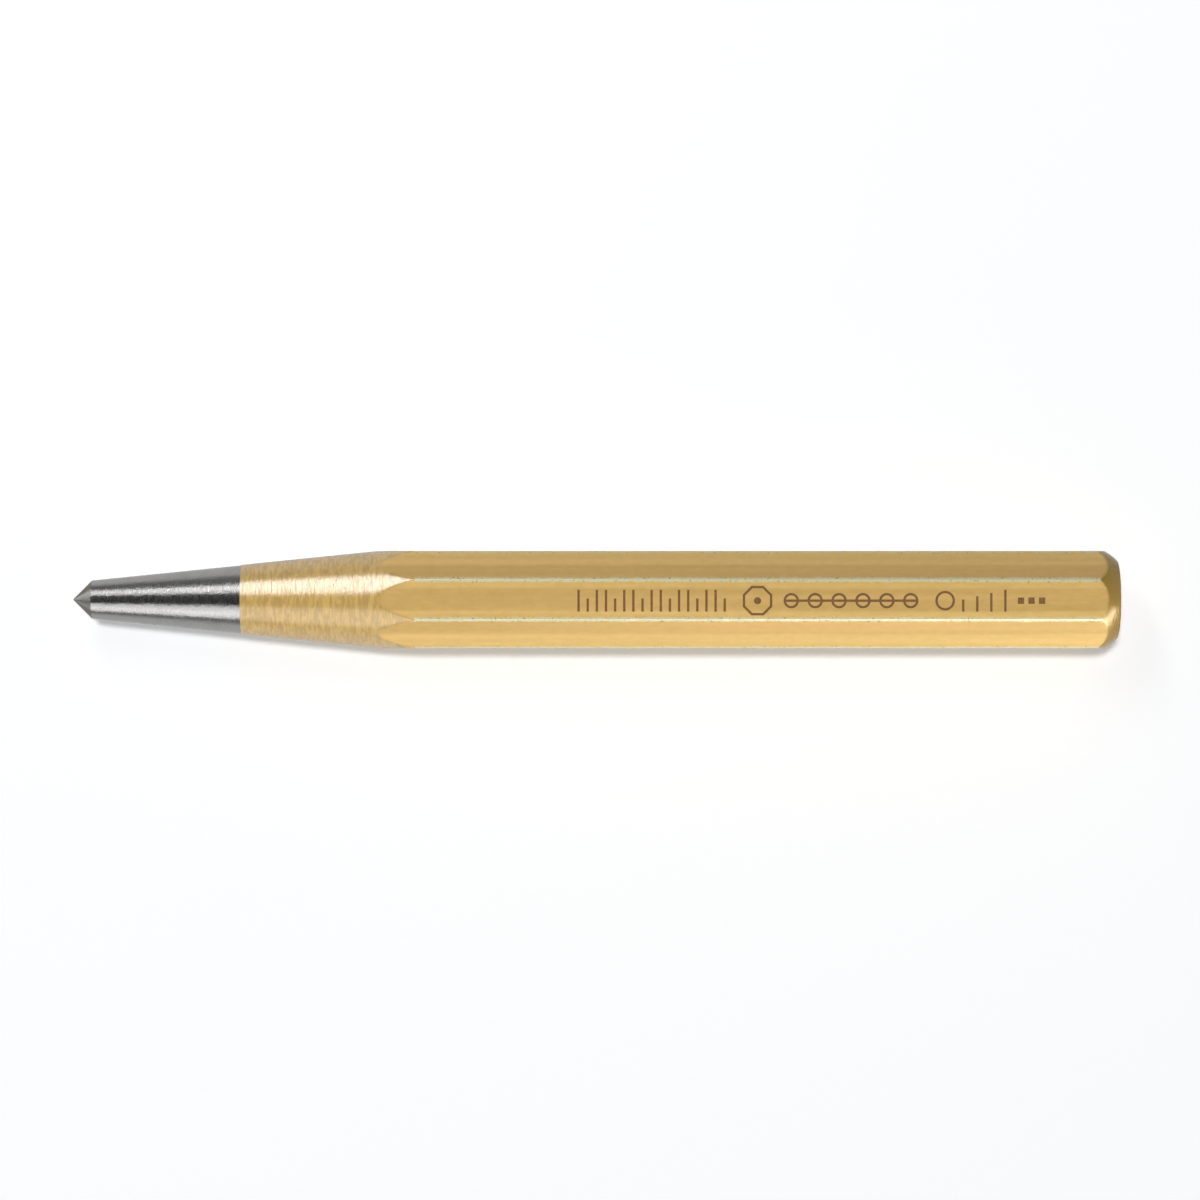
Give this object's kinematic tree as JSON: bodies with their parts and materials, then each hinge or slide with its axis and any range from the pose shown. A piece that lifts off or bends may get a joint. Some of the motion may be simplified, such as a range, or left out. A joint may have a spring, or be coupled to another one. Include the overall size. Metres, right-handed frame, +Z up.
{
  "type": "center punch",
  "caption": "Octagonal steel center punch with a ground conical point on a long round taper and a crowned striking head, under gold lacquer that stops short of the point.",
  "frame": {"origin": "on the surface that the punch lies on, under the middle of its length and width", "axes": "+X along the punch from the point to the struck face, +Z up out of the marked flat, so that the opposite flat rests at Z = 0"},
  "size_m": [0.15, 0.014, 0.014],
  "materials": {
    "ground_steel": "bare turned steel on the taper, coarser grinding lines on the point",
    "gold_lacquer": "satin metallic gold-bronze lacquer, thin enough to show the turning lines under it",
    "laser_mark": "matt dark brown oxide left by laser marking"
  },
  "bodies": {
    "root": {"steel_punch": "ground_steel", "lacquer_coat": "gold_lacquer", "laser_marks": "laser_mark"}
  },
  "joints": []
}
